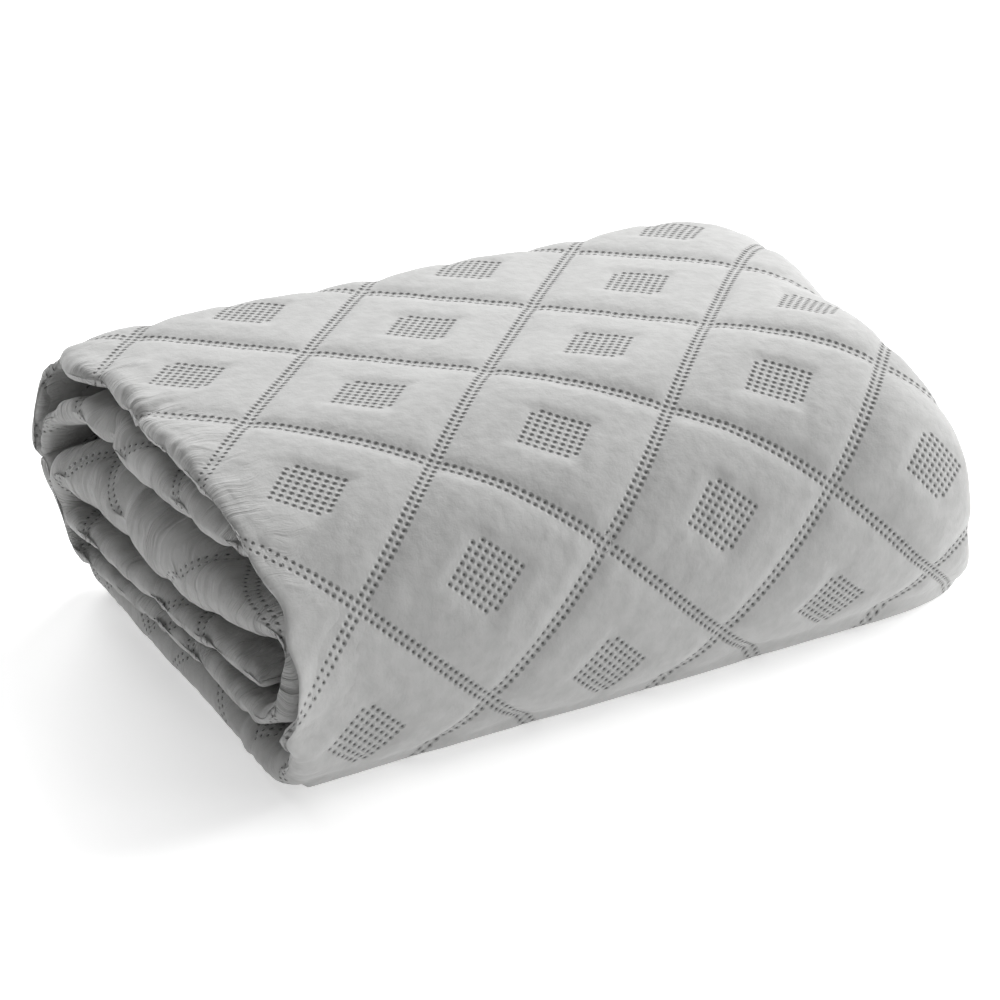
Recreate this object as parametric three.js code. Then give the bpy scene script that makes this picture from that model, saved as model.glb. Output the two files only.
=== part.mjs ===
// A quilted bedspread of light grey microfibre, folded into an oblong bundle.
// The cloth was first doubled over twice into a long strip of four plies, and the strip was
// then folded back and forth. The bundle is that one thick strip, seen edge on in the Y-Z
// plane. Units are millimetres, +Z is up, +X runs along the bundle and -Y is its front.

import * as THREE from 'three';

// Quilting: double rows of pressed dots cross at right angles and part the cloth into
// diamonds whose corners point along the bundle and across it.
const dotPitch = 4.4;
const dotsPerDiamond = 24;
const diamondSide = dotsPerDiamond * dotPitch;
const diagonal = diamondSide * Math.SQRT2;
const stepsPerDiagonal = 6;
const gridStep = diagonal / stepsPerDiagonal;

// One crossing of the quilting lies on the front at this place along X and at this height.
const crossingX = -38.2;
const crossingHeight = 108;

// Relief of the quilting, as depths below the plump part of a diamond.
const grooveDepth = 3;
const grooveReach = 18;
const patchDepth = 1.5;
const patchReach = 20;

// The strip, from its hidden tail to its hidden core end, a row for each run or fold.
// y and z place the corner where the strip turns, bend is the radius of that turn, and thick
// is the strip's thickness there. left and right are the strip's ends along X, and flare is
// how far the left end stands out of the bundle's side, or sags into it where below zero.
const folds = [
  { at: 'tail',               y: -109,  z: 121.5, bend: 0,   thick: 7,  left: -221, right: 197, flare: 0 },
  { at: 'second layer',       y: -56,   z: 133,  bend: 132, thick: 25, left: -236, right: 199, flare: 0 },
  { at: 'dip',                y: 58,    z: 133,  bend: 110, thick: 30, left: -236, right: 209, flare: 0 },
  { at: 'loop, slope',        y: 108,   z: 137,  bend: 40,  thick: 18, left: -236, right: 215, flare: 0 },
  { at: 'loop, drop',         y: 157,   z: 112,  bend: 15,  thick: 11, left: -238, right: 223, flare: 0 },
  { at: 'loop, tip in',       y: 157,   z: 94,   bend: 5.2, thick: 9,  left: -238, right: 227, flare: 0 },
  { at: 'loop, tip out',      y: 168,   z: 94,   bend: 5.2, thick: 9,  left: -239, right: 231, flare: 0 },
  { at: 'back',               y: 166,   z: 160,  bend: 27,  thick: 12, left: -238, right: 240, flare: -7 },
  { at: 'top, back',          y: 60,    z: 159,  bend: 400, thick: 15, left: -236, right: 237, flare: 0 },
  { at: 'top, front',         y: -52,   z: 158,  bend: 167, thick: 15, left: -236, right: 209, flare: 0 },
  { at: 'shoulder',           y: -134,  z: 130,  bend: 62,  thick: 15, left: -237, right: 218, flare: 2 },
  { at: 'front',              y: -151,  z: 61,   bend: 85,  thick: 15, left: -234, right: 218, flare: 15 },
  { at: 'foot',               y: -132,  z: 11,   bend: 34,  thick: 22, left: -227, right: 230, flare: 2 },
  { at: 'underside',          y: 0,     z: 13,   bend: 400, thick: 26, left: -221, right: 219, flare: 0 },
  { at: 'rear fold, low',     y: 158,   z: 13,   bend: 15,  thick: 19, left: -214, right: 211, flare: 0 },
  { at: 'rear fold, tip out', y: 159.5, z: 84,   bend: 4.8, thick: 9,  left: -238, right: 209, flare: 0 },
  { at: 'rear fold, tip in',  y: 148.3, z: 84,   bend: 4.8, thick: 9,  left: -236, right: 209, flare: 0 },
  { at: 'rear fold, inside',  y: 146,   z: 36,   bend: 14,  thick: 11, left: -230, right: 209, flare: 0 },
  { at: 'fifth layer',        y: 0,     z: 35,   bend: 400, thick: 17, left: -226, right: 209, flare: 0 },
  { at: 'front turn, low',    y: -128,  z: 36,   bend: 26,  thick: 17, left: -228, right: 203, flare: 0 },
  { at: 'front turn, high',   y: -126,  z: 92,   bend: 26,  thick: 24, left: -230, right: 197, flare: 0 },
  { at: 'third layer',        y: -8,    z: 90,   bend: 400, thick: 50, left: -239, right: 201, flare: 0 },
  { at: 'third, puffed back', y: 96,    z: 93,   bend: 70,  thick: 45, left: -236, right: 203, flare: 0 },
  { at: 'inner fold, high',   y: 130,   z: 91,   bend: 13,  thick: 27, left: -242, right: 205, flare: 0 },
  { at: 'inner fold, low',    y: 129,   z: 61,   bend: 13,  thick: 18, left: -237, right: 205, flare: 0 },
  { at: 'fourth layer',       y: -8,    z: 54.5, bend: 400, thick: 20, left: -231, right: 203, flare: 0 },
  { at: 'core end',           y: -102,  z: 57,   bend: 0,   thick: 15, left: -232, right: 199, flare: 0 },
];
const flareReach = 18;

// Where a line of the quilting or the bend over the shoulder tucks the outer layer's left rim
// in: place along the strip from the crossing on the front, reach to both sides, and depth.
const tucks = [
  { along: -321, reach: 22, depth: 9 },
  { along: -251, reach: 22, depth: 9 },
  { along: -211, reach: 26, depth: 6 },
  { along: -9, reach: 15, depth: 7 },
  { along: 22, reach: 13, depth: 4 },
];

// The right end of the bundle is drawn in, as the outer layer closes over the others. Over a
// reach along X the outside comes in by draw, most at the very end.
const closing = {
  top: { reach: 82, draw: 44 },
  frontShoulder: { reach: 89, draw: 68 },
  backShoulder: { reach: 54, draw: 13 },
  frontSide: { reach: 82, draw: 34 },
  backSide: { reach: 87, draw: 24 },
};
const bundleHeight = 165;
const bundleHalfDepth = 165;
const bundleRight = 237;

// Towards the right end the front edge of the underside is lifted a little off the surface.
const liftHeight = 8;

// The strip's two long edges are round noses, whose depth is a share of its half thickness.
const nosePoints = 4;
const noseShare = 1.15;

const clamp = THREE.MathUtils.clamp;
const lerp = THREE.MathUtils.lerp;
const smoothstep = THREE.MathUtils.smoothstep;

// Middle line of the strip: straight runs joined by round turns. The sample in the middle of
// each turn belongs to that row of the table.
function middleLine() {
  const corners = folds.map((fold) => new THREE.Vector2(fold.y, fold.z));
  const last = folds.length - 1;
  const samples = [{ point: corners[0].clone(), row: 0 }];
  for (let i = 1; i < last; i++) {
    const into = corners[i].clone().sub(corners[i - 1]).normalize();
    const outOf = corners[i + 1].clone().sub(corners[i]).normalize();
    const turn = Math.atan2(into.cross(outOf), into.dot(outOf));
    const cut = folds[i].bend * Math.tan(Math.abs(turn) / 2);
    const start = corners[i].clone().addScaledVector(into, -cut);
    const towardsCentre = new THREE.Vector2(-into.y, into.x).multiplyScalar(Math.sign(turn));
    const centre = start.clone().addScaledVector(towardsCentre, folds[i].bend);
    const half = Math.max(1, Math.ceil(Math.abs(turn) / 0.2));
    for (let k = 0; k <= 2 * half; k++) {
      const point = start.clone().rotateAround(centre, turn * k / (2 * half));
      samples.push({ point, row: k === half ? i : null });
    }
  }
  samples.push({ point: corners[last].clone(), row: last });
  return samples;
}

// Stations a millimetre apart along the middle line. Each has its direction, the direction
// out of the bundle, and the thickness, ends and flare, eased between the rows of the table.
function makeStations() {
  const samples = middleLine();
  const lengths = [0];
  for (let i = 1; i < samples.length; i++) {
    lengths.push(lengths[i - 1] + samples[i].point.distanceTo(samples[i - 1].point));
  }
  const total = lengths[lengths.length - 1];
  const pointAt = (length) => {
    const wanted = clamp(length, 0, total);
    let i = 1;
    while (i < lengths.length - 1 && lengths[i] < wanted) i++;
    const share = (wanted - lengths[i - 1]) / (lengths[i] - lengths[i - 1]);
    return samples[i - 1].point.clone().lerp(samples[i].point, share);
  };
  const rowLengths = folds.map((fold, row) => lengths[samples.findIndex((sample) => sample.row === row)]);
  const read = (column, length) => {
    let i = 0;
    while (i < folds.length - 2 && length > rowLengths[i + 1]) i++;
    return lerp(folds[i][column], folds[i + 1][column], smoothstep(length, rowLengths[i], rowLengths[i + 1]));
  };
  const stations = [];
  const count = Math.round(total);
  const sight = 2;
  for (let k = 0; k <= count; k++) {
    const length = total * k / count;
    const heading = pointAt(length + sight).sub(pointAt(length - sight)).normalize();
    stations.push({
      point: pointAt(length),
      heading,
      outward: new THREE.Vector2(heading.y, -heading.x),
      thick: read('thick', length),
      left: read('left', length),
      right: read('right', length),
      flare: read('flare', length),
    });
  }
  return stations;
}

// Length along the outer face, counted from the crossing of the quilting on the front.
function measureOuterFace(stations) {
  const outer = stations.map((s) => s.point.clone().addScaledVector(s.outward, s.thick / 2));
  stations[0].along = 0;
  for (let k = 1; k < stations.length; k++) {
    stations[k].along = stations[k - 1].along + outer[k].distanceTo(outer[k - 1]);
  }
  const goesDown = (s) => s.heading.y < -0.5;
  const crossing = stations.findIndex((s, k) => goesDown(s) && outer[k].x < 0 && outer[k].y < crossingHeight);
  const zero = stations[crossing].along;
  for (const station of stations) station.along -= zero;
}

// Draws the outer layer's left rim in at its tucks.
function tuckLeftRim(stations) {
  for (const station of stations) {
    for (const { along, reach, depth } of tucks) {
      station.left += depth * Math.exp(-(((station.along - along) / reach) ** 2));
    }
  }
}

// The mesh has a row at every step of the quilting's grid, and more rows in the tight turns.
function pickRows(stations) {
  const mostTurn = THREE.MathUtils.degToRad(27);
  const rows = [stations[0]];
  let waiting = [];
  let turned = 0;
  for (let k = 1; k < stations.length; k++) {
    const [before, here] = [stations[k - 1], stations[k]];
    turned += Math.abs(Math.atan2(before.heading.cross(here.heading), before.heading.dot(here.heading)));
    waiting.push({ station: here, turned });
    const isGridLine = Math.floor(here.along / gridStep) > Math.floor(before.along / gridStep);
    const isEnd = k === stations.length - 1;
    if (!isGridLine && !isEnd) continue;
    const parts = Math.max(1, Math.ceil(turned / mostTurn));
    for (let part = 1; part < parts; part++) {
      rows.push(waiting.find((entry) => entry.turned >= turned * part / parts).station);
    }
    rows.push(here);
    waiting = [];
    turned = 0;
  }
  return rows;
}

// Depth of the quilting at a place on the cloth: a groove along each line of dots, and a
// shallow dimple where the square patch of dots is pressed in the middle of each diamond.
function quiltingDepth(across, along) {
  const toLine = (value) => Math.abs(value - Math.round(value / diagonal) * diagonal) / Math.SQRT2;
  const nearest = Math.min(toLine(across - along), toLine(across + along));
  const groove = grooveDepth * (1 - smoothstep(nearest, 0, grooveReach));
  const patch = patchDepth * (1 - smoothstep(diamondSide / 2 - nearest, 0, patchReach));
  return groove + patch;
}

// Columns of the mesh lie on the quilting's grid. Where the strip's end lies further in, the
// columns next to it are moved in with it.
const edgeX = 229;
const firstColumn = Math.ceil((-edgeX - crossingX) / gridStep);
const lastColumn = Math.floor((edgeX - crossingX) / gridStep);
const faceColumns = lastColumn - firstColumn + 3;
const movedColumns = 4;

function columnX(column, faceLeft, faceRight) {
  const fromRight = faceColumns - 1 - column;
  if (column === 0) return faceLeft;
  if (fromRight === 0) return faceRight;
  const onGrid = crossingX + (firstColumn + column - 1) * gridStep;
  const withLeft = (faceLeft + edgeX) * Math.max(0, 1 - column / movedColumns);
  const withRight = (faceRight - edgeX) * Math.max(0, 1 - fromRight / movedColumns);
  return onGrid + withLeft + withRight;
}

// One loop round the strip: outer face, right nose, inner face, left nose. side runs from 1
// on the outer face to -1 on the inner one, and across is the place on the cloth.
function loopAround(row) {
  const depth = noseShare * row.thick / 2;
  const faceLeft = row.left + depth;
  const faceRight = row.right - depth;
  const loop = [];
  for (let column = 0; column < faceColumns; column++) {
    const x = columnX(column, faceLeft, faceRight);
    loop.push({ x, side: 1, across: x - crossingX });
  }
  for (let k = 1; k <= nosePoints; k++) {
    const angle = Math.PI * k / (nosePoints + 1);
    const x = faceRight + depth * Math.sin(angle);
    loop.push({ x, side: Math.cos(angle), across: faceRight + depth * angle - crossingX });
  }
  for (let column = faceColumns - 1; column >= 0; column--) {
    const x = columnX(column, faceLeft, faceRight);
    loop.push({ x, side: -1, across: x - crossingX });
  }
  for (let k = 1; k <= nosePoints; k++) {
    const angle = Math.PI * k / (nosePoints + 1);
    const x = faceLeft - depth * Math.sin(angle);
    loop.push({ x, side: -Math.cos(angle), across: faceLeft - depth * (Math.PI - angle) - crossingX });
  }
  return loop;
}

// Draws the right end of the bundle in: its top comes down and its sides come together.
function closeRightEnd(point) {
  const drawn = ({ reach, draw }) => {
    const share = clamp((point.x - bundleRight + reach) / reach, 0, 0.96);
    return draw * (1 - Math.sqrt(1 - share * share));
  };
  const offCentre = point.y / bundleHalfDepth;
  const isFront = offCentre < 0;
  const nearShoulder = isFront ? smoothstep(-offCentre, 0.35, 0.85) : smoothstep(offCentre, -0.05, 0.62);
  const shoulder = drawn(isFront ? closing.frontShoulder : closing.backShoulder);
  point.z *= 1 - lerp(drawn(closing.top), shoulder, nearShoulder) / bundleHeight;
  point.y -= offCentre * drawn(isFront ? closing.frontSide : closing.backSide);
}

// Lifts the lower front edge, more and more towards the right end.
function liftFrontEdge(point) {
  const alongX = smoothstep(point.x, -63, 197);
  const nearFront = smoothstep(-point.y, 0.6 * bundleHalfDepth, 0.95 * bundleHalfDepth);
  const nearFloor = 1 - smoothstep(point.z, 5, 60);
  point.z += liftHeight * alongX * nearFront * nearFloor;
}

// Places a point of a loop in space. The face that the bundle rests on is pressed flat.
function placePoint(row, at) {
  const onFloor = row.outward.y < -0.97 && row.point.y < bundleHeight / 8;
  const relief = quiltingDepth(at.across, row.along) * Math.min(1, row.thick / 12);
  const half = row.thick / 2 - (onFloor ? 0 : relief);
  const flare = row.flare * Math.exp((row.left - at.x) / flareReach);
  const inPlane = row.point.clone().addScaledVector(row.outward, at.side * half + flare);
  const point = new THREE.Vector3(at.x, inPlane.x, inPlane.y);
  closeRightEnd(point);
  if (onFloor && at.side === 1) point.z = 0;
  else liftFrontEdge(point);
  return point;
}

// One closed skin. A quad is split along its shorter diagonal, which the grooves follow, and
// each end of the strip is closed between its two faces.
function bedspreadGeometry() {
  const stations = makeStations();
  measureOuterFace(stations);
  tuckLeftRim(stations);
  const loops = pickRows(stations).map((row) => loopAround(row).map((at) => placePoint(row, at)));
  const around = loops[0].length;
  const points = loops.flat();
  const index = [];

  for (let row = 0; row < loops.length - 1; row++) {
    for (let k = 0; k < around; k++) {
      const next = (k + 1) % around;
      const [a, b] = [row * around + k, row * around + next];
      const [c, d] = [b + around, a + around];
      const alongAC = points[a].distanceTo(points[c]) < points[b].distanceTo(points[d]);
      if (alongAC) index.push(a, c, b, a, d, c);
      else index.push(a, d, b, b, d, c);
    }
  }

  const closeEnd = (first, isTail) => {
    const face = (i, j, k) => index.push(...(isTail ? [i, j, k] : [k, j, i]).map((id) => first + id));
    const inner = (column) => 2 * faceColumns + nosePoints - 1 - column;
    for (let column = 0; column < faceColumns - 1; column++) {
      face(column, column + 1, inner(column + 1));
      face(column, inner(column + 1), inner(column));
    }
    for (let k = 0; k < nosePoints; k++) {
      face(faceColumns - 1, faceColumns + k, faceColumns + k + 1);
      const onLeft = 2 * faceColumns + nosePoints + k;
      face(inner(0), onLeft, (onLeft + 1) % around);
    }
  };
  closeEnd(0, true);
  closeEnd((loops.length - 1) * around, false);

  const geometry = new THREE.BufferGeometry();
  const positions = points.flatMap((point) => point.toArray());
  geometry.setAttribute('position', new THREE.Float32BufferAttribute(positions, 3));
  geometry.setIndex(index);
  geometry.computeVertexNormals();
  return geometry;
}

// The origin is the middle of the underside.
const geometry = bedspreadGeometry();
geometry.computeBoundingBox();
const middle = geometry.boundingBox.getCenter(new THREE.Vector3());
geometry.translate(-middle.x, -middle.y, -geometry.boundingBox.min.z);

const microfibre = new THREE.MeshStandardMaterial({ color: '#c9c9c8', roughness: 0.9, metalness: 0 });
const bedspread = new THREE.Mesh(geometry, microfibre);
bedspread.name = 'bedspread';

const model = new THREE.Group();
model.add(bedspread);

export default model;
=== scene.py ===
import math

import bpy
import numpy as np
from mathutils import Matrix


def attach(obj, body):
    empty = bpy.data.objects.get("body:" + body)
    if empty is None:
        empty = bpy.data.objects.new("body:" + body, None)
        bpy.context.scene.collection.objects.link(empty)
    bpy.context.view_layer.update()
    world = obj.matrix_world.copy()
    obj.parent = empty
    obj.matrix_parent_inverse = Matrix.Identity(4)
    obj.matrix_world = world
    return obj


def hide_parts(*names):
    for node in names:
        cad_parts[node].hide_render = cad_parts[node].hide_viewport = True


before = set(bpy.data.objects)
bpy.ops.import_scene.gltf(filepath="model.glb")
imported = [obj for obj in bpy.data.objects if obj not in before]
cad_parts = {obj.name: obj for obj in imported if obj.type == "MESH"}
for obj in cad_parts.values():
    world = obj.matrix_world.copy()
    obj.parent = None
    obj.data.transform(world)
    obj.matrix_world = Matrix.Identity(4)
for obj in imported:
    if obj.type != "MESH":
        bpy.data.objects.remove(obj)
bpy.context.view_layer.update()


# The bedspread: one panel of quilted microfibre, about 1.8 by 2 m. It is doubled over twice
# into a strip of four plies, and the strip is folded back and forth into a bundle. +X runs
# along the bundle, and the strip is seen edge on in the Y-Z plane. Lengths are in millimetres.
DOT_PITCH = 4.4
DOTS_PER_DIAMOND = 24
CROSSING_X = -38.2        # a crossing of the quilting's lines on the front, from which the
CROSSING_HEIGHT = 108     # dots are counted

# The strip from its hidden tail to its hidden core end, a row for each run or turn: the corner
# where it turns, the radius of the turn, the strip's thickness, its ends along X, how far the
# left end stands out of the bundle's side, and how many dots the quilting has slipped along X.
COLUMNS = ("y", "z", "bend", "thick", "left", "right", "flare", "slip")
FOLDS = np.array([
    # y,   z,  bend, thick, left, right, flare, slip
    (-114, 123, 0, 7, -221, 197, 0, -12),       # tail
    (-56, 133, 132, 25, -236, 199, 0, -12),     # second layer
    (58, 133, 110, 30, -236, 209, 0, -12),      # its dip
    (108, 137, 40, 18, -236, 215, 0, -9),       # loop that droops at the back: slope
    (155, 112, 15, 13, -238, 223, 0, -3),       # drop
    (157, 91, 5.2, 10, -238, 227, 0, 0),        # tip, in
    (168, 91, 5.2, 10, -239, 231, 0, 0),        # tip, out
    (166, 160, 27, 13, -238, 240, -7, 0),       # back
    (60, 159, 400, 15, -236, 237, 0, 0),        # top, back
    (-52, 158, 167, 15, -236, 209, 0, 0),       # top, front
    (-134, 130, 62, 15, -237, 218, 2, 0),       # shoulder
    (-151, 61, 85, 15, -234, 218, 15, 0),       # front
    (-132, 11, 34, 22, -227, 230, 2, 0),        # foot
    (0, 13, 400, 26, -221, 219, 0, 0),          # underside
    (157, 13, 15, 19, -215, 211, 0, -12),       # rear fold, low
    (157.5, 90, 4.8, 9, -239, 209, 0, -12),     # rear fold, tip out
    (147.5, 90, 4.8, 9, -239, 209, 0, -12),     # rear fold, tip in
    (148, 36, 14, 12, -230, 209, 0, -12),       # rear fold, inside
    (0, 35, 400, 17, -226, 209, 0, -12),        # fifth layer
    (-128, 36, 26, 17, -228, 203, 0, -12),      # front turn, low
    (-126, 92, 26, 24, -230, 197, 0, -12),      # front turn, high
    (-8, 90, 400, 50, -239, 201, 0, -12),       # third layer
    (98, 94, 70, 47, -236, 203, 0, -12),        # its puffed back
    (133, 91, 13, 28, -243, 205, 0, -12),       # inner fold, high
    (137, 61, 13, 18, -237, 205, 0, -12),       # inner fold, low
    (-8, 54.5, 400, 20, -231, 203, 0, -12),     # fourth layer
    (-104, 56, 0, 16, -226, 199, 0, -12),       # core end
], dtype=float)
LOOP_TIP, FOOT, UNDERSIDE, REAR_LOW, REAR_TIP = 6, 12, 13, 14, 15    # rows of the table
TABLE_SHIFT = np.array([0.01, -4.77, 0.0])    # from the table's frame to the part's
TURN_STEP = 0.06                              # radians between the middle line's points
STATIONS_PER_MM = 2
SIGHT = 2.5                                   # how far the heading looks ahead and back


def smoothstep(value, low, high):
    share = np.clip((value - low) / (high - low), 0, 1)
    return share * share * (3 - 2 * share)


def lerp(a, b, share):
    return a + (b - a) * share


def middle_line():
    """The strip's middle line as points in Y-Z, and each row's place in that list."""
    points, row_at = [FOLDS[0, :2]], [0]
    for before, here, after in zip(FOLDS, FOLDS[1:], FOLDS[2:]):
        into = (here[:2] - before[:2]) / np.linalg.norm(here[:2] - before[:2])
        out = (after[:2] - here[:2]) / np.linalg.norm(after[:2] - here[:2])
        turn = math.atan2(into[0] * out[1] - into[1] * out[0], into @ out)
        bend = here[2]
        start = here[:2] - into * bend * math.tan(abs(turn) / 2)
        centre = start + np.array([-into[1], into[0]]) * math.copysign(bend, turn)
        arm = start - centre
        half = max(1, math.ceil(abs(turn) / TURN_STEP))
        for k in range(2 * half + 1):
            c, s = math.cos(turn * k / (2 * half)), math.sin(turn * k / (2 * half))
            if k == half:
                row_at.append(len(points))
            points.append(centre + np.array([c * arm[0] - s * arm[1], s * arm[0] + c * arm[1]]))
    row_at.append(len(points))
    points.append(FOLDS[-1, :2])
    return np.array(points), row_at


line, row_at = middle_line()
line_length = np.r_[0, np.cumsum(np.linalg.norm(np.diff(line, axis=0), axis=1))]
mark = line_length[row_at]
length = np.linspace(0, line_length[-1], int(line_length[-1] * STATIONS_PER_MM))


def point_at(wanted):
    wanted = np.clip(wanted, 0, line_length[-1])
    return np.stack([np.interp(wanted, line_length, line[:, axis]) for axis in (0, 1)], axis=1)


def along_the_table(name):
    """A column of the table at each station, eased from row to row."""
    column = COLUMNS.index(name)
    i = np.clip(np.searchsorted(mark, length) - 1, 0, len(mark) - 2)
    return lerp(FOLDS[i, column], FOLDS[i + 1, column], smoothstep(length, mark[i], mark[i + 1]))


middle = point_at(length)
heading = point_at(length + SIGHT) - point_at(length - SIGHT)
heading /= np.linalg.norm(heading, axis=1)[:, None]
outward = np.stack([heading[:, 1], -heading[:, 0]], axis=1)
thick, left, right, flare, slip = (along_the_table(name) for name in COLUMNS[3:])

# The strip's two ends are round, and a little blunt.
END_ROUND, END_BLUNT = 8, 0.02
to_end = np.clip(np.minimum(length, line_length[-1] - length) / END_ROUND, END_BLUNT, 1)
thick *= np.sqrt(to_end * (2 - to_end))

# The quilting's place along the strip, in dots from the crossing: measured on the outer face
# from the loop at the back to the underside, where that face shows, and on the middle line
# elsewhere.
EASE_IN, EASE_OUT = 30, 60
outer_face = middle + outward * thick[:, None] / 2
inner_face = middle - outward * thick[:, None] / 2
step_outer = np.r_[0, np.linalg.norm(np.diff(outer_face, axis=0), axis=1)]
step_inner = np.r_[0, np.linalg.norm(np.diff(inner_face, axis=0), axis=1)]
step_middle = np.r_[0, np.diff(length)]
shown = (smoothstep(length, mark[LOOP_TIP] - EASE_IN, mark[LOOP_TIP])
         * (1 - smoothstep(length, mark[UNDERSIDE] - EASE_OUT, mark[UNDERSIDE])))
down = np.cumsum(lerp(step_middle, step_outer, shown))
on_the_front = (heading[:, 1] < -0.5) & (outer_face[:, 0] < 0) & (outer_face[:, 1] < CROSSING_HEIGHT)
down = (down - down[np.argmax(on_the_front)]) / DOT_PITCH

# Where the left rim is tucked in by a line of the quilting or by a fold, and where it curls out:
# place along the strip in dots, reach in dots, depth in millimetres.
TUCKS = [
    # down, reach, depth
    (-121.5, 2.2, 8),
    (-74, 7, 12),
    (-57, 5, 9),
    (-48, 6, 6),
    (-2, 3.5, 7),
    (5, 3, 4),
    (13, 1.8, -7),
    (190, 5, 11),
    (229, 2.5, 4),
]
for at, reach, depth in TUCKS:
    left = left + depth * np.exp(-((down - at) / reach) ** 2)

# The front rim is pressed thin, so that its inner face slopes up to the outer one: by how much,
# how far inland, and where along the strip this begins and ends, in dots.
PINCH, PINCH_REACH = 0.62, 24
PINCH_BEGINS, PINCH_ENDS = (-24, -16), (8, 14)
pinch = PINCH * smoothstep(down, *PINCH_BEGINS) * (1 - smoothstep(down, *PINCH_ENDS))

# Of the stations, those that get a row of the mesh: half a dot apart on the longer face, and
# closer in tight turns. Hidden faces use every fourth row.
ROW_STEP = DOT_PITCH / 2
ROW_TURN = math.radians(11)
turned = np.r_[0, np.abs(np.diff(np.unwrap(np.arctan2(heading[:, 1], heading[:, 0]))))]
effort = np.cumsum(np.maximum(np.maximum(step_outer, step_inner) / ROW_STEP, turned / ROW_TURN))
wanted_rows = np.linspace(0, effort[-1], int(effort[-1]) + 1)
rows = np.unique(np.searchsorted(effort, wanted_rows).clip(0, len(length) - 1))
middle, outward, thick, left, right, flare, slip, pinch, down, length = (
    a[rows] for a in (middle, outward, thick, left, right, flare, slip, pinch, down, length))
row_count = len(rows)
coarse_rows = np.unique(np.r_[np.arange(0, row_count, 4), row_count - 1])

# The strip's cross-section: the cloth is doubled over a round nose at the left, and each half is
# doubled again at the right, so it has two outer plies and two inner ones.
NOSE_SHARE = 1.15       # depth of the left nose against half the strip's thickness
NOSE_FULLNESS = 0.8     # 1 is an ellipse, less is squarer
GAP = 0.3               # from the middle of the strip to the faces that meet there
OUTER_PLY, INNER_PLY = 4.5, 2.6                 # thickness of a ply, which is never more
OUTER_PLY_SHARE, INNER_PLY_SHARE = 0.3, 0.16    # than this share of the strip's
outer_ply = np.minimum(OUTER_PLY, OUTER_PLY_SHARE * thick)
inner_ply = np.minimum(INNER_PLY, INNER_PLY_SHARE * thick)
nose = NOSE_SHARE * thick / 2
nose_arc = math.pi / 2 * (nose + thick / 2)
face_left = left + nose
face_right = right - NOSE_SHARE * (thick / 2 - GAP) / 2

# The right end of the bundle is drawn in, as the outer layer closes over the others. The top
# passes into the shoulders between two shares of the bundle's half depth.
CLOSING = {
    # part of the end: reach along X, draw
    "top": (82, 44),
    "front shoulder": (89, 68),
    "back shoulder": (54, 13),
    "front side": (82, 34),
    "back side": (87, 24),
}
STEEPEST_CLOSING = 0.96
TO_FRONT_SHOULDER, TO_BACK_SHOULDER = (0.35, 0.85), (-0.05, 0.62)
BUNDLE_HEIGHT, BUNDLE_HALF_DEPTH, BUNDLE_RIGHT = 165, 165, 237


def close_right_end(x, y, z):
    """The right end's top comes down and its sides come together."""
    def drawn(name):
        reach, draw = CLOSING[name]
        share = np.clip((x - BUNDLE_RIGHT + reach) / reach, 0, STEEPEST_CLOSING)
        return draw * (1 - np.sqrt(1 - share * share))
    off_centre = y / BUNDLE_HALF_DEPTH
    is_front = off_centre < 0
    to_shoulder = np.where(is_front, smoothstep(-off_centre, *TO_FRONT_SHOULDER),
                           smoothstep(off_centre, *TO_BACK_SHOULDER))
    shoulder = np.where(is_front, drawn("front shoulder"), drawn("back shoulder"))
    z = z * (1 - lerp(drawn("top"), shoulder, to_shoulder) / BUNDLE_HEIGHT)
    y = y - off_centre * np.where(is_front, drawn("front side"), drawn("back side"))
    return y, z


LIFT, LIFT_FROM_X, LIFT_TO_X = 8, -63, 197


def lift_front_edge(x, y, z):
    """Towards the right end the lower front edge is lifted a little off the floor."""
    near_front = smoothstep(-y, 0.6 * BUNDLE_HALF_DEPTH, 0.95 * BUNDLE_HALF_DEPTH)
    near_floor = 1 - smoothstep(z, 5, 60)
    return z + LIFT * smoothstep(x, LIFT_FROM_X, LIFT_TO_X) * near_front * near_floor


# Relief of the quilting, and of the rim's gathers and the cloth's long waves. It is at its full
# depth where the strip is thick enough, and none of it shows where the cloth lies on the floor.
CHANNEL_DEPTH, CHANNEL_REACH, CHANNEL_PRESS = 3.7, 6.5, 0.62
CROWN_HEIGHT, CROWN_REACH = 1.3, 40
PATCH_DEPTH, PATCH_HALF_DOTS = 1.9, 3.9
DEEPER_BY_RIM = 0.15
GATHER_REACH = 16
FLARE_REACH = 18
FULL_RELIEF_THICKNESS = 12
LATTICE_SIZE = 128
lattice = np.random.default_rng(11).uniform(-1, 1, (LATTICE_SIZE, LATTICE_SIZE))


def uneven(p, q):
    """Smooth unevenness from -1 to 1, with about one bump to each unit."""
    i, j = np.floor(p).astype(int), np.floor(q).astype(int)
    s, t = smoothstep(p - i, 0, 1), smoothstep(q - j, 0, 1)
    i, j, i_next, j_next = (v % LATTICE_SIZE for v in (i, j, i + 1, j + 1))
    return lerp(lerp(lattice[i, j], lattice[i_next, j], s),
                lerp(lattice[i, j_next], lattice[i_next, j_next], s), t)


def to_line(value):
    """Distance in dots to the nearest line of the quilting."""
    return np.abs(value - DOTS_PER_DIAMOND * np.round(value / DOTS_PER_DIAMOND))


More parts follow.
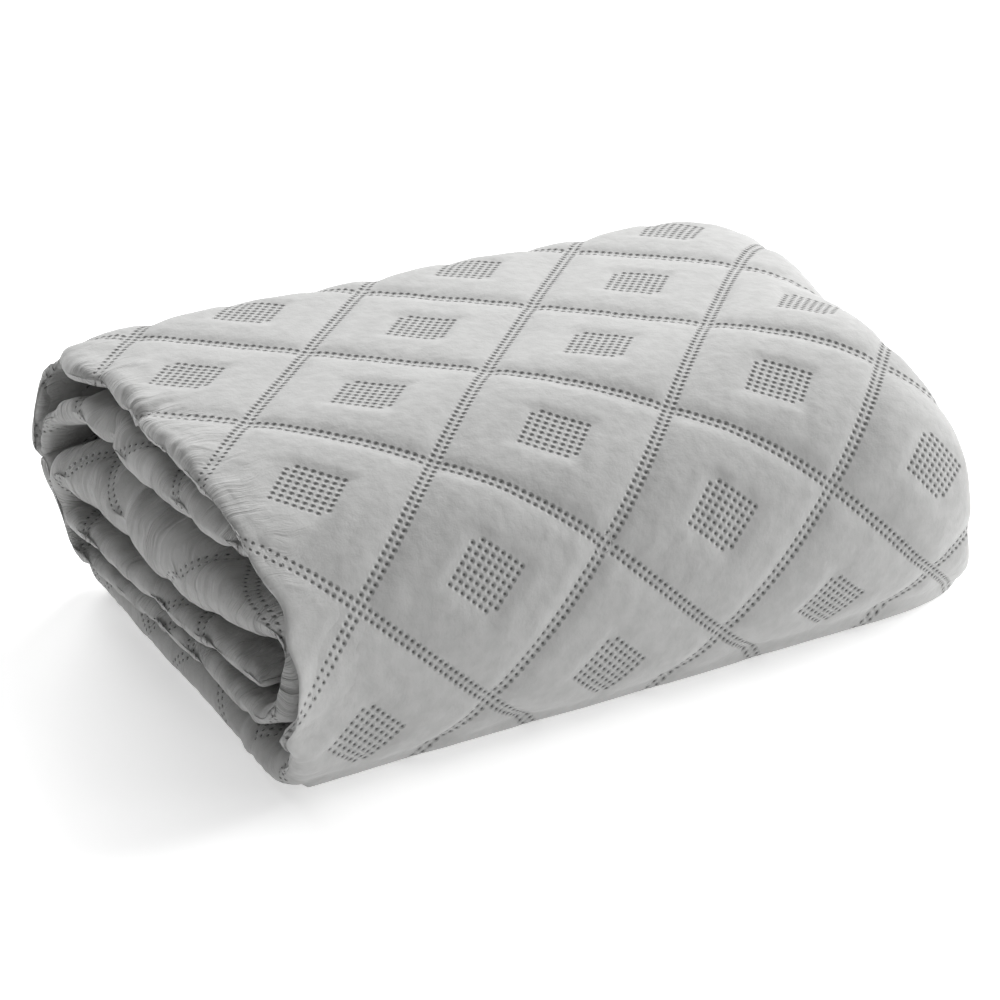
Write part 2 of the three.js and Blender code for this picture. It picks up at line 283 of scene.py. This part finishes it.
def quilting(across, down):
    """Depth of the quilting: a channel along each line, and the pressed patch in a diamond."""
    p, q = to_line((across + down) / math.sqrt(2)), to_line((down - across) / math.sqrt(2))
    near, far = np.minimum(p, q) * DOT_PITCH, np.maximum(p, q) * DOT_PITCH
    press_near = CHANNEL_PRESS * np.exp(-(near / CHANNEL_REACH) ** 2)
    press_far = CHANNEL_PRESS * np.exp(-(far / CHANNEL_REACH) ** 2)
    channel = 1 - (1 - press_near) * (1 - press_far)
    crown = 1 - smoothstep(near, 0, CROWN_REACH)
    patch_edge = DOTS_PER_DIAMOND / 2 - PATCH_HALF_DOTS
    patch = smoothstep(np.minimum(p, q), patch_edge - 1.6, patch_edge + 0.6)
    return CHANNEL_DEPTH * channel + CROWN_HEIGHT * crown + PATCH_DEPTH * patch


def gathers(across, along, by_rim):
    """Bunches of small folds along the left rim, with their lengths and widths in dots."""
    folds = 1.1 * uneven(across / 12, along / 2.3) + 0.9 * uneven(across / 9 + 40, along / 1.15)
    bunches = 0.75 + 0.6 * uneven(across / 20, along / 9)
    return folds * (by_rim * bunches)


def waves(across, along):
    """Long soft waves all over, and faint pulls along the strip, with their sizes in dots."""
    soft = 0.6 * uneven(across / 15, along / 13)
    pulls = 0.3 * uneven(across / 2.4 + 0.3 * along, along / 11 + 60)
    return soft + pulls


def place(row, x, h, across, inland, relief):
    """Places points in space. h is the height in the strip, inland the distance from its left rim."""
    along = down[row]
    middle_y, middle_z = middle[row][..., 0], middle[row][..., 1]
    outward_y, outward_z = outward[row][..., 0], outward[row][..., 1]
    half = thick[row] / 2
    side = np.sign(h)

    by_rim = np.exp(-np.maximum(inland, 0) / GATHER_REACH)
    pattern = quilting(across, along) * (1 + DEEPER_BY_RIM * by_rim)
    on_floor = smoothstep(-outward_z, 0.75, 0.98) * (middle_z < BUNDLE_HEIGHT / 8)
    amount = relief * np.minimum(1, thick[row] / FULL_RELIEF_THICKNESS)
    sunk = pattern * (1 - on_floor) - gathers(across, along, by_rim) - waves(across, along)
    h = h - side * amount * sunk

    by_pinch = np.exp(-(np.maximum(inland, 0) / PINCH_REACH) ** 2)
    h = half - (half - h) * (1 - pinch[row] * by_pinch)
    h = h + flare[row] * np.exp((left[row] - x) / FLARE_REACH)
    y, z = close_right_end(x, middle_y + outward_y * h, middle_z + outward_z * h)
    z = lift_front_edge(x, y, z)
    z = z * (1 - on_floor * ((side > 0) & (relief > 0) & (inland > 0)))
    return np.stack([x, y, np.maximum(z, 0)], axis=-1) + TABLE_SHIFT


# The mesh is built of grids of points. A grid's column is a function from rows to the points' x,
# their height in the strip, their dots across the cloth and their distance from the left rim.
points, quilt_uv, rim_uv = [], [], []
faces = []


def add_patch(row_list, columns, relief):
    """Adds a grid's points, and gives their numbers by row and column."""
    first = sum(len(patch) for patch in points)
    row = np.array(row_list)
    grid, on_cloth, from_rim = [], [], []
    for column in columns:
        x, h, across, inland = column(row)
        across = across + slip[row]
        grid.append(place(row, x, h, across, inland, relief))
        on_cloth.append(np.stack([across, down[row]], axis=-1))
        from_rim.append(np.stack([inland / DOT_PITCH, down[row]], axis=-1))
    points.append(np.stack(grid, axis=1).reshape(-1, 3))
    quilt_uv.append(np.stack(on_cloth, axis=1).reshape(-1, 2))
    rim_uv.append(np.stack(from_rim, axis=1).reshape(-1, 2))
    return first + np.arange(len(row) * len(columns)).reshape(len(row), len(columns))


def fill_grid(ids):
    a, b, c, d = ids[:-1, :-1], ids[:-1, 1:], ids[1:, 1:], ids[1:, :-1]
    faces.extend(np.stack([a, b, c, d], axis=-1).reshape(-1, 4).tolist())


def zip_up(p, p_measure, q, q_measure):
    """Triangles between two chains of points, p first, matched by their measures."""
    i = j = 0
    while i < len(p) - 1 or j < len(q) - 1:
        if j == len(q) - 1 or (i < len(p) - 1 and p_measure[i + 1] <= q_measure[j + 1]):
            faces.append([p[i], p[i + 1], q[j]])
            i += 1
        else:
            faces.append([p[i], q[j + 1], q[j]])
            j += 1


FACE_WIDTH = 440
RIM_STEPS = [0, 3, 6.5, 11, 16, 22, 30, 40]
RIGHT_STEPS = [26, 14, 6, 0]


def shares_across(step):
    """Shares of a face's width: fine next to its left rim, then even steps, fine at the right."""
    stop = [FACE_WIDTH - v for v in RIGHT_STEPS]
    count = max(1, round((stop[0] - RIM_STEPS[-1]) / step))
    between = np.linspace(RIM_STEPS[-1], stop[0], count + 1)[1:-1]
    return np.array(RIM_STEPS + list(between) + stop) / FACE_WIDTH


def on_face(share, side):
    """A column on the strip's outer face, side 1, or on its inner one, side -1."""
    def column(row):
        inland = share * (face_right[row] - face_left[row])
        rim = face_left[row] - CROSSING_X
        across = rim + inland if side > 0 else rim - nose_arc[row] - inland
        return face_left[row] + inland, side * thick[row] / 2, across / DOT_PITCH, inland
    return column


def on_nose(angle):
    """A column round the left nose, from -90 degrees at the inner face to 90 at the outer one."""
    def column(row):
        x = face_left[row] - nose[row] * np.cos(angle) ** NOSE_FULLNESS
        across = face_left[row] - CROSSING_X - nose_arc[row] * (math.pi / 2 - angle) / math.pi
        return x, thick[row] / 2 * np.sin(angle), across / DOT_PITCH, 0 * x
    return column


def on_right_turn(angle, inner=False):
    """A column of the right turn between the first ply and the second, on its outside or inside."""
    def column(row):
        top = thick[row] / 2 - (outer_ply[row] if inner else 0)
        low = GAP + (inner_ply[row] if inner else 0)
        depth = NOSE_SHARE * (top - low) / 2
        x = face_right[row] + depth * np.cos(angle)
        h = (top + low) / 2 + (top - low) / 2 * np.sin(angle)
        across = face_right[row] - CROSSING_X + (math.pi / 2 - angle) * depth
        return x, h, across / DOT_PITCH, face_right[row] - face_left[row]
    return column


def on_ply(share, height):
    """A column on a hidden ply or on the back of a ply, at a height for each row."""
    def column(row):
        inland = share * (face_right[row] - face_left[row])
        x = face_left[row] + inland
        return x, height[row], (x - CROSSING_X) / DOT_PITCH, inland
    return column


def inside_turn(angle, depth, half):
    """A column round the inside of a left turn of a given depth and half height."""
    def column(row):
        x = face_left[row] - depth[row] * np.cos(angle)
        return x, half[row] * np.sin(angle), (x - CROSSING_X) / DOT_PITCH, 0 * x
    return column


# The two outer faces, round the left nose and the right turn. The rows that show have fine
# columns on the face that shows: how far apart they are on the outer face and on the inner one.
# A zone reaches a little past what shows.
COLUMN_STEPS = {"hidden": (44, 44), "front": (4.4, 44), "back": (8.8, 44)}
NOSE_ANGLES = np.radians(np.linspace(-90, 90, 17)[1:-1])
TURN_ANGLES = np.radians([54, 18, -18, -54, -90])
PAST_LOOP, PAST_FOOT, PAST_REAR = 8, 40, 30
zone = np.full(row_count, "hidden", dtype=object)
zone[(length > mark[LOOP_TIP] - PAST_LOOP) & (length < mark[FOOT] + PAST_FOOT)] = "front"
zone[(length > mark[REAR_LOW] - PAST_REAR) & (length < mark[REAR_TIP])] = "back"
borders = [0] + [i for i in range(1, row_count) if zone[i] != zone[i - 1]] + [row_count]
raw_edge, turn_edge, chains = [], [], []
for start, stop in zip(borders, borders[1:]):
    outer_step, inner_step = COLUMN_STEPS[zone[start]]
    outer_shares, inner_shares = shares_across(outer_step), shares_across(inner_step)[::-1]
    columns = [on_face(share, -1) for share in inner_shares]
    columns += [on_nose(a) for a in NOSE_ANGLES]
    columns += [on_face(share, 1) for share in outer_shares]
    columns += [on_right_turn(a) for a in TURN_ANGLES]
    measure = np.r_[-1 - inner_shares, NOSE_ANGLES / math.pi - 0.5, outer_shares,
                    1 + np.arange(1, 6) / 5]
    ids = add_patch(range(start, stop), columns, relief=1)
    fill_grid(ids)
    if chains:
        zip_up(*chains[-1], ids[0], measure)
    chains += [(ids[0], measure), (ids[-1], measure)]
    raw_edge.append(ids[:, 0])
    turn_edge.append(ids[:, -1])
raw_edge, turn_edge = np.concatenate(raw_edge), np.concatenate(turn_edge)

# The face of the two inner plies, from the right turn to the left crease and back.
ply_shares = np.linspace(0, 1, 9)
height_of_gap = np.full(row_count, GAP)
columns = [on_ply(share, height_of_gap) for share in ply_shares[-2::-1]]
columns += [on_ply(share, -height_of_gap) for share in ply_shares]
inner_face_ids = add_patch(coarse_rows, columns, relief=0)
fill_grid(inner_face_ids)
zip_up(turn_edge[::-1], -np.arange(row_count)[::-1], inner_face_ids[::-1, 0], -coarse_rows[::-1])

# The back of the cloth, all along: inside the first ply, the nose, the second ply, the right
# turn, the third ply, the crease and the fourth ply.
face_shares = np.linspace(0, 1, 12)
half_turn = np.radians([60, 30, 0, -30, -60])
under_outer_ply = thick / 2 - outer_ply
over_inner_ply = GAP + inner_ply
columns = [on_ply(share, -under_outer_ply) for share in face_shares[::-1]]
columns += [inside_turn(a, nose - outer_ply, under_outer_ply) for a in -half_turn]
columns += [on_ply(share, under_outer_ply) for share in face_shares]
columns += [on_right_turn(a, inner=True) for a in half_turn]
columns += [on_ply(share, over_inner_ply) for share in ply_shares[::-1]]
columns += [inside_turn(a, over_inner_ply, over_inner_ply) for a in half_turn]
columns += [on_ply(share, -over_inner_ply) for share in ply_shares]
back = add_patch(coarse_rows, columns, relief=0)
fill_grid(back[:, ::-1])

# Hems: the faces and the back meet along the two raw edges and at the strip's two ends.
zip_up(raw_edge, np.arange(row_count), back[:, 0], coarse_rows)
zip_up(inner_face_ids[::-1, -1], -coarse_rows[::-1], back[::-1, -1], -coarse_rows[::-1])
turn_measure = np.arange(1, 6) / 6
ply_measure = np.linspace(0, 8, len(ply_shares))
face_measure = np.r_[2 + np.arange(1, 9), 11 + ply_measure]
back_measure = np.r_[-1 - face_shares[::-1], -half_turn[::-1] / math.pi - 0.5, face_shares,
                     1 + turn_measure, 2 + ply_measure, 10 + turn_measure, 11 + ply_measure]
tail, tail_measure = chains[0]
zip_up(np.r_[tail, inner_face_ids[0]][::-1], -np.r_[tail_measure, face_measure][::-1],
       back[0][::-1], -back_measure[::-1])
core, core_measure = chains[-1]
zip_up(np.r_[core, inner_face_ids[-1]], np.r_[core_measure, face_measure], back[-1], back_measure)

# The faces are turned round as they go in, so that they look out of the cloth.
MM = 0.001
points = np.concatenate(points) * MM
quilt_uv, rim_uv = np.concatenate(quilt_uv), np.concatenate(rim_uv)
mesh = bpy.data.meshes.new("bedspread_cloth")
mesh.from_pydata(points.tolist(), [], [face[::-1] for face in faces])
mesh.validate()
bedspread = bpy.data.objects.new("bedspread_cloth", mesh)
bpy.context.scene.collection.objects.link(bedspread)

# UV maps in dots: across the two directions of the quilting's lines, and inland from the rim
# and down the strip.
across_lines = np.stack([quilt_uv[:, 0] + quilt_uv[:, 1], quilt_uv[:, 1] - quilt_uv[:, 0]], axis=1)
loop_vertex = np.empty(len(mesh.loops), dtype=np.int32)
mesh.loops.foreach_get("vertex_index", loop_vertex)
for name, uv in (("quilting", across_lines / math.sqrt(2)), ("from the rim", rim_uv)):
    layer = mesh.uv_layers.new(name=name)
    layer.data.foreach_set("uv", uv[loop_vertex].astype(np.float32).ravel())
mesh.polygons.foreach_set("use_smooth", np.ones(len(mesh.polygons), dtype=bool))
mesh.update()

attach(bedspread, "root")
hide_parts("bedspread")


# The cloth's finish: brushed polyester microfibre over a thin wadding, its faces pressed
# together dot by dot by a heated wheel. It gives the eye a matt, faintly clouded grey with a
# soft sheen at its edges, fine wrinkles that run in from the rims, and pressed dots whose
# small holes are painted dark with shade.
def linear(code):
    """A colour of a hex code, in linear light."""
    channels = [int(code[i:i + 2], 16) / 255 for i in (1, 3, 5)]
    return [c / 12.92 if c <= 0.04045 else ((c + 0.055) / 1.055) ** 2.4 for c in channels] + [1]


def add_node(tree, kind, settings, inputs):
    """Adds a node and gives its outputs. Each input, by name or number, takes a value or a link."""
    node = tree.nodes.new("ShaderNode" + kind)
    for name, setting in settings.items():
        setattr(node, name, setting)
    for name, source in inputs.items():
        if isinstance(source, bpy.types.NodeSocket):
            tree.links.new(source, node.inputs[name])
        else:
            node.inputs[name].default_value = source
    return node.outputs


# Sizes in millimetres. The real fibres are much too fine to show, so they are drawn as a nap of
# 1.11 mm. A wrinkle is about six times as long as it is wide, inland from the rim, and strays
# along the rim by some dots.
CLOUD, FIBRE, WRINKLE, WANDER, BUNCH = 7.69, 1.11, 8.46, 35.7, 40
PER_METRE = 1000
WRINKLE_SHAPE = (0.16, 1, 1)
WANDER_DOTS = (0, 6, 0)
HALF_DIAMOND = DOTS_PER_DIAMOND / 2
# The darkest of these tones is painted shade for the holes of the pressed dots.
LOW_TONE, HIGH_TONE, HOLE_SHADE_TONE = linear("#a9a9a8"), linear("#b2b2b1"), linear("#4e4e4d")

microfibre = bpy.data.materials.new("brushed_microfibre")
microfibre.use_nodes = True
tree = microfibre.node_tree
shader = tree.nodes["Principled BSDF"]
for name, setting in (("Roughness", 0.85), ("Sheen Weight", 0.35), ("Sheen Roughness", 0.45),
                      ("Specular IOR Level", 0.25)):
    shader.inputs[name].default_value = setting

in_space = add_node(tree, "TexCoord", {}, {})["Object"]
on_quilting = add_node(tree, "UVMap", {"uv_map": "quilting"}, {})[0]
on_strip = add_node(tree, "UVMap", {"uv_map": "from the rim"}, {})[0]
stretched = add_node(tree, "Mapping", {}, {"Vector": on_strip, "Scale": WRINKLE_SHAPE})[0]
wander = add_node(tree, "TexNoise", {},
                  {"Vector": in_space, "Scale": PER_METRE / WANDER, "Detail": 2})["Color"]
strayed = add_node(tree, "VectorMath", {"operation": "MULTIPLY_ADD"},
                   {0: wander, 1: WANDER_DOTS, 2: stretched})[0]
result = {}
result["p"], result["q"], _ = add_node(tree, "SeparateXYZ", {}, {0: on_quilting})
result["inland"], result["down"], _ = add_node(tree, "SeparateXYZ", {}, {0: on_strip})
for name, where, scale, detail, roughness, distortion in [
    ("cloud", in_space, PER_METRE / CLOUD, 6, 0.5, 0),
    ("fibre", in_space, PER_METRE / FIBRE, 2, 0.5, 0),
    ("bunch", on_strip, DOT_PITCH / BUNCH, 1, 0.5, 0),
    ("wrinkle", strayed, DOT_PITCH / WRINKLE, 4, 0.62, 0.6),
]:
    result[name] = add_node(tree, "TexNoise", {}, {
        "Vector": where, "Scale": scale, "Detail": detail,
        "Roughness": roughness, "Distortion": distortion})[0]

# The pattern and the relief, worked out step by step, with places in dots: the name of a result,
# what its node does, and what goes in. SMOOTHSTEP eases its first term from one range to another.
steps = []
for axis in ("p", "q"):
    steps += [
        (axis + " cell", "FLOOR", axis),
        (axis + " dot", "ADD", axis + " cell", 0.5),
        (axis + " in dot", "SUBTRACT", axis, axis + " dot"),
        (axis + " squared", "POWER", axis + " in dot", 2),
        (axis + " shifted", "ADD", axis + " dot", HALF_DIAMOND),
        (axis + " wrapped", "FLOORED_MODULO", axis + " shifted", DOTS_PER_DIAMOND),
        (axis + " past line", "SUBTRACT", axis + " wrapped", HALF_DIAMOND),
        (axis + " from line", "ABSOLUTE", axis + " past line"),
        (axis + " in diamond", "FLOORED_MODULO", axis + " dot", DOTS_PER_DIAMOND),
        (axis + " past centre", "SUBTRACT", axis + " in diamond", HALF_DIAMOND),
        (axis + " from centre", "ABSOLUTE", axis + " past centre"),
    ]
steps += [
    # Lines of two rows of dots, and in each diamond a patch of dots that lacks two corners. The
    # inner layers, before the loop at the back and after the underside, show no patches.
    ("line distance", "MINIMUM", "p from line", "q from line"),
    ("on line", "LESS_THAN", "line distance", 1),
    ("patch distance", "MAXIMUM", "p from centre", "q from centre"),
    ("in square", "LESS_THAN", "patch distance", 4),
    ("to corner", "ADD", "p past centre", "q past centre"),
    ("corner distance", "ABSOLUTE", "to corner"),
    ("not corner", "LESS_THAN", "corner distance", 6.5),
    ("in patch", "MULTIPLY", "in square", "not corner"),
    ("after loop", "SMOOTHSTEP", "down", -106, -98, 0, 1),
    ("before rear fold", "SMOOTHSTEP", "down", 108, 114, 1, 0),
    ("outer layer", "MULTIPLY", "after loop", "before rear fold"),
    ("shown patch", "MULTIPLY", "outer layer", "in patch"),
    ("pressed", "MAXIMUM", "on line", "shown patch"),

    # A dot is a hole in a wider dimple, and the hole is painted dark as the shade inside it. Next to
    # the rim the dots are smaller.
    ("squares", "ADD", "p squared", "q squared"),
    ("radius", "SQRT", "squares"),
    ("near rim", "SMOOTHSTEP", "inland", 0, 6, 1, 0),
    ("shrink", "MULTIPLY_ADD", "near rim", 0.45, 1),
    ("dot radius", "MULTIPLY", "radius", "shrink"),
    ("hole shape", "SMOOTHSTEP", "dot radius", 0.09, 0.29, 1, 0),
    ("dimple shape", "SMOOTHSTEP", "dot radius", 0.1, 0.5, 1, 0),
    ("hole", "MULTIPLY", "pressed", "hole shape"),
    ("dimple", "MULTIPLY", "pressed", "dimple shape"),
    ("tone", "SMOOTHSTEP", "cloud", 0.25, 0.75, 0, 1),

    # Wrinkles fade out inland and come in bunches. The front has few, the inner layers have most.
    ("by rim", "SMOOTHSTEP", "inland", 0, 9, 1, 0),
    ("bunched", "SMOOTHSTEP", "bunch", 0.36, 0.56, 0.25, 1),
    ("by rim bunched", "MULTIPLY", "by rim", "bunched"),
    ("below shoulder", "SMOOTHSTEP", "down", -10, 0, 0, 0.75),
    ("above foot", "SMOOTHSTEP", "down", 22, 32, 1, 0),
    ("on front", "MULTIPLY", "below shoulder", "above foot"),
    ("off front", "SUBTRACT", 1, "on front"),
    ("wrinkled here", "MULTIPLY", "by rim bunched", "off front"),
    ("layer strength", "MULTIPLY_ADD", "outer layer", -1.3, 2.3),
    ("wrinkle strength", "MULTIPLY", "wrinkled here", "layer strength"),
    ("wrinkles", "MULTIPLY", "wrinkle", "wrinkle strength"),

    # Heights in millimetres.
    ("crinkle", "MULTIPLY", "cloud", 0.9),
    ("with dimples", "MULTIPLY_ADD", "dimple", -1.7, "crinkle"),
    ("with fibres", "MULTIPLY_ADD", "fibre", 0.12, "with dimples"),
    ("relief", "MULTIPLY_ADD", "wrinkles", 4.2, "with fibres"),
]
for name, mode, *terms in steps:
    kind, setting = ("Math", "operation")
    if mode == "SMOOTHSTEP":
        kind, setting = ("MapRange", "interpolation_type")
    inputs = {slot: result.get(term, term) for slot, term in enumerate(terms)}
    result[name] = add_node(tree, kind, {setting: mode}, inputs)[0]

# A colour mix has its factor at input 0, its colours at 6 and 7, and its result at output 2.
in_colour = {"data_type": "RGBA"}
clouded = add_node(tree, "Mix", in_colour, {0: result["tone"], 6: LOW_TONE, 7: HIGH_TONE})[2]
# Painted shade: the hole of each pressed dot is darkened in the base colour.
hole_shaded = add_node(tree, "Mix", in_colour, {0: result["hole"], 6: clouded, 7: HOLE_SHADE_TONE})[2]
bump = add_node(tree, "Bump", {}, {"Strength": 0.8, "Distance": MM, "Height": result["relief"]})[0]
tree.links.new(hole_shaded, shader.inputs["Base Color"])
tree.links.new(bump, shader.inputs["Normal"])
mesh.materials.append(microfibre)


# The studio: a plain white sweep of matt paper for a floor, which gives some light by itself so
# that the shadows stay pale, and soft boxes, of which the strong ones stand behind and to the
# right. Places and sizes are in metres.
for o in bpy.context.selected_objects:
    o.select_set(False)
bpy.ops.mesh.primitive_plane_add(size=24, location=(0, 0, 0))
floor = bpy.context.object
floor.name = "floor"
paper = bpy.data.materials.new("white_paper")
paper.use_nodes = True
WHITE = (1, 1, 1, 1)
for name, setting in (("Base Color", linear("#f4f4f4")), ("Roughness", 0.9),
                      ("Emission Color", WHITE), ("Emission Strength", 0.43)):
    paper.node_tree.nodes["Principled BSDF"].inputs[name].default_value = setting
floor.data.materials.append(paper)

scene = bpy.context.scene
scene.view_settings.view_transform = "Standard"
world = bpy.data.worlds.new("studio")
scene.world = world
world.use_nodes = True
world.node_tree.nodes["Background"].inputs["Color"].default_value = WHITE
world.node_tree.nodes["Background"].inputs["Strength"].default_value = 0.08

AIM = np.array((0, 0, 0.1))
SOFTBOXES = [
    # name, place, width and height, watts
    ("back_softbox", (0.2, 2.4, 1.3), (1.4, 1.2), 47),
    ("back_right_softbox", (1.3, 1.1, 1.9), (1.2, 1.2), 34),
    ("right_softbox", (2.2, -0.4, 1.3), (1.2, 1.2), 49),
    ("front_left_softbox", (-1.6, -1.6, 1.4), (1.2, 1.2), 4),
    ("overhead_softbox", (0.0, 0.0, 2.2), (1.6, 1.6), 10),
    ("front_softbox", (1.7, -1.9, 0.8), (1.2, 0.8), 11),
]
for name, stands_at, size, watts in SOFTBOXES:
    lamp = bpy.data.lights.new(name, "AREA")
    lamp.shape = "RECTANGLE"
    lamp.size, lamp.size_y = size
    lamp.energy = watts
    softbox = bpy.data.objects.new(name, lamp)
    softbox.location = stands_at
    sight = AIM - np.array(stands_at)
    softbox.rotation_euler = (math.acos(-sight[2] / np.linalg.norm(sight)), 0,
                              math.atan2(sight[1], sight[0]) - math.pi / 2)
    scene.collection.objects.link(softbox)

# The camera stands at the photograph's angle: 30.6 degrees round to the left, 24.1 degrees up.
camera_data = bpy.data.cameras.new("camera")
camera_data.lens = 98.2
camera_data.sensor_width = 36
camera = bpy.data.objects.new("camera", camera_data)
camera.location = (-0.7563, -1.2522, 0.7207)
camera.rotation_euler = (math.radians(90 - 24.1), 0, math.radians(-30.6))
scene.collection.objects.link(camera)
scene.camera = camera
